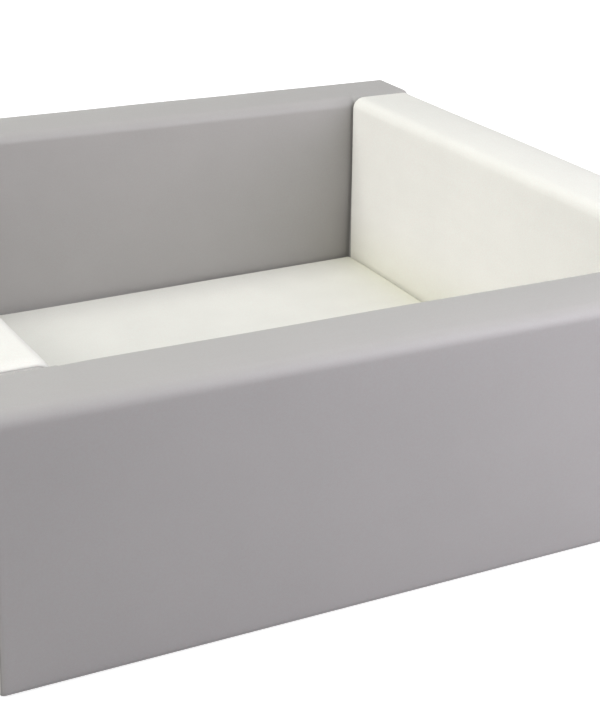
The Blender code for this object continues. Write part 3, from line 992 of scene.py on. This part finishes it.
# Rubber dots in staggered rows: each is a six-sided dome with a flat foot on the floor.
def makeDots(block):
    look = panelLook
    halfLength, halfWidth, slotLength, slotWidth = panelSizes(block)
    pitch, rowStep, radius = look["dotPitch"], look["dotPitch"] * math.sqrt(3) / 2, look["dotRadius"]
    rows = np.arange(-math.floor(halfWidth / rowStep), math.floor(halfWidth / rowStep) + 1)
    columns = np.arange(-math.floor(halfLength / pitch) - 1, math.floor(halfLength / pitch) + 1)
    column, row = np.meshgrid(columns, rows)
    x, y = (column + 0.5 * (row % 2)) * pitch, row * rowStep
    keep = (np.abs(x) < halfLength - look["dotMargin"]) & (np.abs(y) < halfWidth - look["dotMargin"])
    keep &= (np.abs(x) > slotLength + look["dotMargin"]) | (np.abs(y) > slotWidth + look["dotMargin"])
    places = np.column_stack([x[keep], y[keep], np.zeros(keep.sum())])

    angle = math.pi / 3 * np.arange(6)
    around = np.column_stack([np.cos(angle), np.sin(angle)])
    rings = [(look["lift"] * lifts, around * radius * share) for lifts, share in look["dotRings"]]
    dot = np.concatenate([np.column_stack([ring, np.full(6, z)]) for z, ring in rings])
    sides = gridQuads(3, 6, ring=True)[:, ::-1]
    foot = np.array([[12, 15, 14, 13], [12, 17, 16, 15]])
    head = np.array([[0, 1, 2, 3], [0, 3, 4, 5]])
    points, faces = repeatShape(dot, np.concatenate([sides, foot, head]), places)
    makeBlockPiece(block, "grip_dots", points, faces, "grip_rubber", sharp=80)


stitchLook = {
    "flat": 0.7,  # the share of a stitch that lies on the cloth
    "taper": 0.6,
    "sink": 0.4,  # how deep it lies in the cloth, in radii of the thread
}


# One stitch: a short thread that dips into the cloth at both ends.
def stitchShape(length, radius):
    half = length / 2
    flat, tip = stitchLook["flat"] * half, stitchLook["taper"] * radius
    path = [(-half, 0, -radius), (-flat, 0, 0), (flat, 0, 0), (half, 0, -radius)]
    return makeThread(path, [tip, radius, radius, tip])


# The middles and directions of stitches along the four sides of a rectangle.
def stitchesRound(halfX, halfY, pitch):
    middles, directions = [], []
    sides = ((0, -1, halfX, 1, 0), (0, 1, halfX, -1, 0), (1, 0, halfY, 0, 1), (-1, 0, halfY, 0, -1))
    for x, y, run, dx, dy in sides:
        steps = np.arange(-run + pitch / 2, run, pitch)
        middles.append(np.column_stack([x * halfX + dx * steps, y * halfY + dy * steps, 0 * steps]))
        directions.append(np.tile([dx, dy, 0.0], (len(steps), 1)))
    return np.concatenate(middles), np.concatenate(directions)


def makePanelStitches(block):
    look = panelLook
    halfLength, halfWidth, slotLength, slotWidth = panelSizes(block)
    margin, slotMargin = look["stitchMargin"], look["slotMargin"]
    rim = stitchesRound(halfLength - margin, halfWidth - margin, look["stitchPitch"])
    slot = stitchesRound(slotLength + slotMargin, slotWidth + slotMargin, look["stitchPitch"])
    middles = np.concatenate([rim[0], slot[0]])
    middles[:, 2] = look["lift"] - look["threadRadius"] * stitchLook["sink"]
    turns = axesAlong(np.concatenate([rim[1], slot[1]]), np.array([0.0, 0.0, -1.0]))
    points, faces = repeatShape(*stitchShape(look["stitchLength"], look["threadRadius"]), middles, turns)
    makeBlockPiece(block, "panel_stitches", points, faces, "thread_grey", sharp=80)


for block in blocks.values():
    makePanel(block)
    makeDots(block)
    makePanelStitches(block)
print("base panels made")


# Zips

zipLook = {
    "toothPitch": 0.0020,
    "toothWidth": 0.0024,
    "toothTaper": (1, 1, 0.9, 0.8),  # shares of the thread's radius, from foot to tip
    "threadRadius": 0.00038,
    "tapeSteps": 60,
    "tapePoints": 13,  # across the tape
    "tapeShare": 0.28,  # of the height of tape and coil
    "bead": 0.00012,  # the tape thickens to a bead along both edges
    "beadWidth": 0.0012,
    "beadInner": 0.6,  # the share of it that stands up whole
}


# The tape's section is a flat loop with rounded, slightly thicker edges, carried along the zip. The
# coil over it is a row of nylon loops, half a pitch apart from those of the other half.
def makeZipHalf(block, half, side):
    look = zipLook
    name, node = "zip_" + half, "zip_tape_" + half
    low, high = localBox(block, node)
    inner, outer = np.sort(np.abs([low[1], high[1]]))
    bottom, coilTop = low[2], high[2]
    tapeTop = bottom + (coilTop - bottom) * look["tapeShare"]
    thick = tapeTop - bottom

    share = np.linspace(0, 1, look["tapePoints"])
    across = inner + (outer - inner) * (1 - np.cos(math.pi * share)) / 2
    fromEdge = np.minimum(across - inner, outer - across)
    thinner = look["bead"] * smoothStep(fromEdge, look["beadWidth"] * look["beadInner"], look["beadWidth"])
    halfThick = thick / 2 * np.sqrt(np.clip(fromEdge / (thick / 2), 0, 1)) - thinner
    middle = bottom + thick / 2
    y = np.concatenate([across, across[-2:0:-1]]) * side
    z = np.concatenate([middle - halfThick, (middle + halfThick)[-2:0:-1]])
    along = np.linspace(low[0], high[0], look["tapeSteps"] + 1)
    rings, count = len(along), len(y)
    points = np.column_stack([np.repeat(along, count), np.tile(y, rings), np.tile(z, rings)])
    faces = gridQuads(rings, count, ring=True).tolist() + endFaces(rings, count)
    if side < 0:
        faces = [face[::-1] for face in faces]
    makeBlockPiece(block, name, points, faces, "zip_cloth", node)

    radius = look["threadRadius"]
    foot, nose, crest = inner + look["toothWidth"] - radius, inner + radius, coilTop - radius
    start, bend = (foot, 0, tapeTop), (foot - radius, 0, crest - radius)
    over, tip = (nose + 2 * radius, 0, crest), (nose, 0, tapeTop + 2 * radius)
    radii = [share * radius for share in look["toothTaper"]]
    tooth, toothFaces = makeThread([start, bend, over, tip], radii)
    tooth = np.column_stack([-tooth[:, 1] * side, tooth[:, 0] * side, tooth[:, 2]])
    first = low[0] + panelLook["tapeTail"] + (look["toothPitch"] / 2 if side > 0 else 0)
    steps = np.arange(first, -first, look["toothPitch"])
    places = np.column_stack([steps, 0 * steps, 0 * steps])
    points, faces = repeatShape(tooth, toothFaces, places)
    makeBlockPiece(block, name + "_coil", points, faces, "zip_nylon", sharp=80)


sliderLook = {
    "plate": 0.0009,
    "web": 0.0008,
    "edgeRound": 0.00025,
    "edgeNip": 0.3,  # the share of it by which the middle of an eased corner stands in
    "noseFullness": 5.0,  # how square the plates' ends are
    "steps": 32,
}


# Two plates joined by a thin web: an I section with eased corners, carried along the slider. Its
# plates' half width is web + (full - web) * (1 - |2x / length| ^ fullness) ^ (1 / 2).
def makeSlider(block):
    look = sliderLook
    low, high = localBox(block, "zip_slider")
    length, full = high[0] - low[0], (high[1] - low[1]) / 2
    bottom, top, ease = low[2], high[2], look["edgeRound"]
    webHalf = look["web"] / 2
    lower, upper = bottom + look["plate"], top - look["plate"]

    # A point is a share of the plate's width, what the eased corner takes off it, and a height
    def corner(z, step):
        nip = look["edgeNip"] * ease
        return [(1.0, ease, z), (1.0, nip, z + step * nip), (1.0, 0.0, z + step * ease)]

    half = [(0.0, 0.0, bottom), (0.5, 0.0, bottom), *corner(bottom, 1), *corner(lower, -1)[::-1]]
    half += [(0.0, 0.0, lower), (0.0, 0.0, upper), *corner(upper, 1), *corner(top, -1)[::-1]]
    half += [(0.5, 0.0, top), (0.0, 0.0, top)]
    share, eased, height = np.array(half + half[::-1]).T
    side = np.repeat([1.0, -1.0], len(half))
    place = np.sin(np.linspace(-math.pi / 2, math.pi / 2, look["steps"] + 1))
    swell = np.sqrt(np.clip(1 - np.abs(place) ** look["noseFullness"], 0, 1))[:, None]
    y = side * (webHalf + share * ((full - webHalf - eased) * swell))
    x = np.broadcast_to(((low[0] + high[0]) / 2 + place * length / 2)[:, None], y.shape)
    points = np.stack([x, y, np.broadcast_to(height, y.shape)], axis=-1)
    rings, count = y.shape
    faces = gridQuads(rings, count, ring=True).tolist() + endFaces(rings, count)
    body = block["slider"]
    makeBlockPiece(block, "slider", points, faces, "zip_nylon", "zip_slider", body)


for block in blocks.values():
    makeZipHalf(block, "inner", 1)
    makeZipHalf(block, "outer", -1)
    makeSlider(block)
print("zips made")


# Hook and loop strips

stripLook = {
    "corner": 0.006,
    "backing": 0.0005,  # thickness of the woven backing
    "edgeRound": 0.0002,
    "outlineCount": 300,
    "backRing": 0.6,  # the back's inner ring, as a share of the way in
    "insets": 22,
    "pile": 0.00042,  # the loops' pile over the backing
    "pileRough": 0.00010,
    "pileLengths": (0.0031, 0.0037, 0.0046, 0.0071),  # the tufts' sizes
    "pileEdge": (0.8, 1.3),  # the pile rises between these shares of the bare rim
    "bareRim": 0.0030,  # the border that is sewn down, free of hooks and loops
    "hookPitch": 0.0026,
    "hookRadius": 0.00008,
    "hookBends": ((0, 0, 0.00028), (0.00016, 0, 0.00040), (0.00036, 0, 0.00026)),
    "hookTaper": (1.2, 1, 1, 0.7),  # shares of its radius, from foot to tip
    "stitchMargin": 0.0018,
    "stitchPitch": 0.0036,
    "stitchLength": 0.0028,
    "threadRadius": 0.00016,
    "seed": 101,  # of the first strip's tufts
}


# A rectangle with rounded corners drawn in by the given amount, as points that keep their order.
def roundedOutline(halfX, halfY, corner, drawn, count):
    place = (np.arange(count) + 0.5) / count * 4
    side, along = np.floor(place).astype(int), (place % 1) * 2 - 1
    across = np.array([[0, -1], [1, 0], [0, 1], [-1, 0]])[side]
    forward = np.array([[1, 0], [0, 1], [-1, 0], [0, -1]])[side]
    size = np.array([halfX, halfY])
    square = across * size + forward * size * along[:, None]
    inner = size - corner
    core = np.clip(square, -inner, inner)
    away = square - core
    reach = np.linalg.norm(away, axis=1)[:, None]
    rounded = core + away / np.maximum(reach, 1e-9) * corner  # never divided by nothing
    onCorner = (np.abs(square) > inner).all(axis=1)[:, None]
    edge = np.where(onCorner, rounded, square)
    left = np.maximum(size - drawn, 0)
    return np.clip(edge * (1 - drawn / size.max()), -left, left)


# A strip's own axes: X along its width, Y up its height, Z off the wall that it is sewn to.
def stripFrame(node):
    low, high = (np.array(list(corner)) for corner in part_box(node))
    facing = stripFacing(node)
    back = low[1] if facing > 0 else high[1]
    origin = np.array([(low[0] + high[0]) / 2, back, (low[2] + high[2]) / 2])
    axes = np.array([[-facing, 0, 0], [0, 0, 1], [0, facing, 0]], float)
    return origin, axes, (high[0] - low[0]) / 2, (high[2] - low[2]) / 2


# Loop strips face the pit from the long walls, and hook strips face away from it on the end walls.
def stripFacing(node):
    if "_loop_" in node:
        return 1 if node.startswith("front") else -1
    return -1 if node.endswith("front") else 1


# The strip is a slab with eased edges: its outline is carried up the edge and drawn in over the face
# to a line. On a loop strip the drawn-in part carries a soft pile.
def makeStrip(node, seed):
    look = stripLook
    isLoop = "_loop_" in node
    origin, axes, halfX, halfY = stripFrame(node)
    count, ease, backing = look["outlineCount"], look["edgeRound"], look["backing"]
    # Rings: how far each is drawn in, and its height
    edge = [(halfX, 0), (look["backRing"] * halfX, 0), (ease, 0), (0, ease)]
    edge += [(0, backing - ease), (ease, backing)]
    face = [(drawn, backing) for drawn in np.linspace(2 * ease, halfX, look["insets"])]
    rings = [(roundedOutline(halfX, halfY, look["corner"], drawn, count), z) for drawn, z in edge + face]
    points = np.array([np.column_stack([ring, np.full(count, z)]) for ring, z in rings])
    draws = np.array(edge + face)[:, 0]
    if isLoop:
        over = smoothStep(draws, *[look["bareRim"] * share for share in look["pileEdge"]])[:, None]
        over = over * (np.arange(len(draws)) >= len(edge))[:, None]
        tufts = slowWaves(points * (1, 1, 0), look["pileLengths"], seed) * look["pileRough"]
        points[..., 2] += over * (look["pile"] - look["pileRough"] + tufts)
    flat = points.reshape(-1, 3) @ axes + origin
    faces = gridQuads(len(draws), count, ring=True)
    body = node.split("_wall")[0] + "_wall"
    cloth, thread, slot = "hook_cloth", "thread_cream", "hook_tape"
    if isLoop:
        cloth, thread, slot = "loop_cloth", "thread_grey", "loop_tape"
    name = node.replace("_strip_", "_tape_")
    closeMesh(makePiece(name, flat, faces, cloth, body, [node]).data)

    margin = look["stitchMargin"]
    middles, directions = stitchesRound(halfX - margin, halfY - margin, look["stitchPitch"])
    corner = look["corner"]
    inCorner = (np.abs(middles[:, 0]) > halfX - corner) & (np.abs(middles[:, 1]) > halfY - corner)
    middles, directions = middles[~inCorner], directions[~inCorner]
    middles[:, 2] = backing + look["threadRadius"] * stitchLook["sink"]
    turns = axesAlong(directions, np.array([0.0, 0.0, 1.0]))
    stitch, stitchFaces = stitchShape(look["stitchLength"], look["threadRadius"])
    points, faces = repeatShape(stitch, stitchFaces, middles, turns)
    makePiece(name + "_stitches", points @ axes + origin, faces, thread, body, sharp=80)
    if not isLoop:
        makeHooks(name, origin, axes, halfX, halfY, body)


# Rows of tiny hooks: each is a bent thread that leans over to one side, row by row in turn.
def makeHooks(name, origin, axes, halfX, halfY, body):
    look = stripLook
    radius, pitch, foot = look["hookRadius"], look["hookPitch"], look["backing"]
    radii = [share * radius for share in look["hookTaper"]]
    hook, hookFaces = makeThread([(0, 0, -radius), *look["hookBends"]], radii)
    x = np.arange(-halfX + look["bareRim"] + pitch / 2, halfX - look["bareRim"], pitch)
    y = np.arange(-halfY + look["bareRim"] + pitch / 2, halfY - look["bareRim"], pitch)
    grid = np.stack(np.meshgrid(x, y, indexing="ij"), axis=-1)
    lean = np.where(np.arange(len(x)) % 2 == 0, 1.0, -1.0)[:, None] + 0 * grid[..., 0]
    places = np.column_stack([grid.reshape(-1, 2), np.full(grid[..., 0].size, foot)])
    zero = np.zeros(len(places))
    directions = np.column_stack([zero, lean.ravel(), zero])
    turns = axesAlong(directions, np.array([0.0, 0.0, 1.0]))
    points, faces = repeatShape(hook, hookFaces, places, turns)
    makePiece(name + "_hooks", points @ axes + origin, faces, "hook_nylon", body, sharp=80)


for number, node in enumerate(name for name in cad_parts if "_strip_" in name):
    makeStrip(node, stripLook["seed"] + number)
print("hook and loop strips made")


# Camera, light and floor

cameraLook = {
    "place": (-1.3988, -2.7662, 1.4006),
    "heading": 0.5072,  # radians from +Y towards +X
    "pitch": -0.3882,
    "roll": 0.0288,
    "lens": 87.56,
    "sensor": 36.0,  # millimetres, on the picture's long side
    "near": 0.05,
    "far": 100.0,
}


def makeCamera():
    look = cameraLook
    h, p, r = look["heading"], look["pitch"], look["roll"]
    forward = np.array([math.sin(h) * math.cos(p), math.cos(h) * math.cos(p), math.sin(p)])
    right = np.array([math.cos(h), -math.sin(h), 0.0])
    up = np.cross(right, forward)
    turnedRight = math.cos(r) * right + math.sin(r) * up
    turnedUp = math.cos(r) * up - math.sin(r) * right
    data = bpy.data.cameras.new("camera")
    data.lens = look["lens"]
    data.sensor_width = look["sensor"]
    data.clip_start, data.clip_end = look["near"], look["far"]
    camera = bpy.data.objects.new("camera", data)
    bpy.context.scene.collection.objects.link(camera)
    matrix = np.eye(4)
    matrix[:3, :3] = np.column_stack([turnedRight, turnedUp, -forward])
    matrix[:3, 3] = look["place"]
    camera.matrix_world = Matrix(matrix.tolist())
    bpy.context.scene.camera = camera


lampLook = {
    "ambient": 0.18,
    "lamps": {
        # name: place, side of the square, watts, colour
        "leftLow": ((-12.0, 0.5, 3.2), 6.0, 214.0, (1.0, 0.984, 0.980)),
        "leftHigh": ((-11.0, -2.0, 7.0), 8.0, 470.0, (1.0, 0.958, 0.956)),
        "topLeft": ((-3.5, 0.5, 5.5), 4.0, 268.0, (0.962, 1.0, 0.928)),
        "topRight": ((3.5, 0.5, 5.5), 4.0, 29.5, (0.977, 1.0, 0.985)),
        "topFront": ((0.0, -2.5, 5.5), 6.0, 9.8, (1.0, 1.0, 1.0)),
        "frontRightHigh": ((1.3, -2.3, 2.0), 1.4, 32.0, (0.930, 0.945, 1.0)),
        "frontRightFar": ((2.6, -3.6, 1.2), 2.0, 85.0, (0.975, 0.925, 1.0)),
    },
    "aim": (0.1, 0.0, 0.25),
}


def makeLamps():
    for name, (place, size, watts, colour) in lampLook["lamps"].items():
        data = bpy.data.lights.new(name, "AREA")
        data.size = size
        data.energy = watts
        data.color = colour
        lamp = bpy.data.objects.new(name, data)
        bpy.context.scene.collection.objects.link(lamp)
        lamp.location = place
        away = Vector(place) - Vector(lampLook["aim"])
        lamp.rotation_euler = away.to_track_quat("Z", "Y").to_euler()
        lamp.visible_camera = False


def seenDirectly(tree):
    path = addNode(tree, "ShaderNodeLightPath")
    direct = mathNode(tree, "MAXIMUM", path.outputs["Is Camera Ray"], path.outputs["Is Glossy Ray"])
    return mathNode(tree, "MAXIMUM", direct, path.outputs["Is Transmission Ray"])


# White where it is seen or mirrored, and plain grey daylight where it lights the object.
def makeWorld():
    world = bpy.data.worlds.new("world")
    bpy.context.scene.world = world
    world.use_nodes = True
    tree = world.node_tree
    tree.nodes.clear()
    lights = addNode(tree, "ShaderNodeBackground", {"Color": (1, 1, 1, 1), "Strength": lampLook["ambient"]})
    seen = addNode(tree, "ShaderNodeBackground", {"Color": (1, 1, 1, 1), "Strength": 1.0})
    parts = {0: seenDirectly(tree), 1: lights.outputs[0], 2: seen.outputs[0]}
    both = addNode(tree, "ShaderNodeMixShader", parts)
    addNode(tree, "ShaderNodeOutputWorld", {"Surface": both.outputs[0]})


floorLook = {
    "halfSize": 40.0,
    "drop": 0.0003,
    "bounce": 0.30,  # the share of the light that it throws back at the object
    "shadowShare": 0.45,
    "nearWhite": 0.80,
    "nearReach": 1.3,
    "farReach": 3.2,  # from here on it is all white
}


# The floor takes the object's shadow, over a white that only the camera sees and that grows to full
# white away from the object.
def makeFloor():
    look = floorLook
    half, z = look["halfSize"], -look["drop"]
    corners = [(-half, -half, z), (half, -half, z), (half, half, z), (-half, half, z)]
    mesh = bpy.data.meshes.new("floor")
    mesh.from_pydata(corners, [], [(0, 1, 2, 3)])
    floor = bpy.data.objects.new("floor", mesh)
    bpy.context.scene.collection.objects.link(floor)
    material = bpy.data.materials.new("floor_white")
    material.use_nodes = True
    tree = material.node_tree
    tree.nodes.clear()
    bounce, share = look["bounce"], look["shadowShare"]
    place = addNode(tree, "ShaderNodeTexCoord").outputs["Object"]
    away = addNode(tree, "ShaderNodeVectorMath", {0: place}, operation="LENGTH").outputs["Value"]
    white = mapRange(tree, away, look["nearReach"], look["farReach"], look["nearWhite"], 1.0)
    plain = addNode(tree, "ShaderNodeBsdfDiffuse", {"Color": (bounce, bounce, bounce, 1)})
    shade = addNode(tree, "ShaderNodeBsdfDiffuse", {"Color": (share, share, share, 1)})
    glow = addNode(tree, "ShaderNodeEmission", {"Color": (1, 1, 1, 1), "Strength": white})
    seen = addNode(tree, "ShaderNodeAddShader", {0: shade.outputs[0], 1: glow.outputs[0]})
    parts = {0: seenDirectly(tree), 1: plain.outputs[0], 2: seen.outputs[0]}
    both = addNode(tree, "ShaderNodeMixShader", parts)
    addNode(tree, "ShaderNodeOutputMaterial", {"Surface": both.outputs[0]})
    mesh.materials.append(material)


makeCamera()
makeLamps()
makeWorld()
makeFloor()
bpy.context.scene.view_settings.view_transform = "Standard"
print("camera, lamps and floor made")
